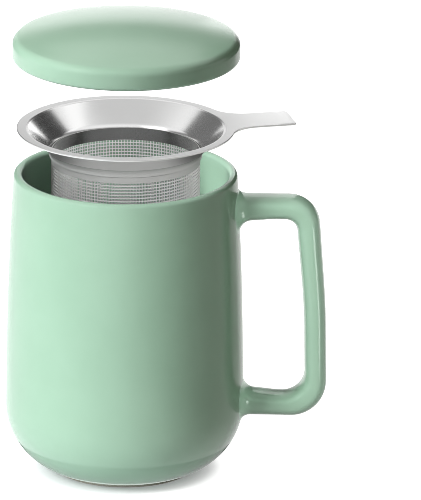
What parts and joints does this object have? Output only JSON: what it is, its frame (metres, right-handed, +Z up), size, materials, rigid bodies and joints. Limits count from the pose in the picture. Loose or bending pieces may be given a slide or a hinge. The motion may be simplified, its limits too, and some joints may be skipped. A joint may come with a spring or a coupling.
{
  "type": "tea mug",
  "caption": "Tall glazed ceramic tea mug with a squared loop handle, a lift-out perforated steel strainer with a lifting tab, and a loose domed ceramic lid.",
  "frame": {"origin": "on the mug's axis, in the plane of the foot ring that the mug stands on", "axes": "+Z up along the mug's axis, +X from the axis towards the handle, +Y towards the back as the picture shows it"},
  "size_m": [0.1265, 0.0936, 0.1827],
  "materials": {
    "mint_glaze": "gloss",
    "satin_steel": "satin",
    "perforated_steel": "satin"
  },
  "bodies": {
    "mug": {"mug_body": "mint_glaze", "handle": "mint_glaze"},
    "strainer": {"strainer_collar": "satin_steel", "strainer_sleeve": "perforated_steel", "strainer_floor": "perforated_steel"},
    "lid": {"lid": "mint_glaze"}
  },
  "joints": [
    {"name": "strainer_lift", "type": "slide", "parent": "mug", "child": "strainer", "axis": [0, 0, 1], "range_m": [-0.0173, 0.06]},
    {"name": "lid_lift", "type": "slide", "parent": "strainer", "child": "lid", "axis": [0, 0, 1], "range_m": [-0.0281, 0.03]}
  ]
}
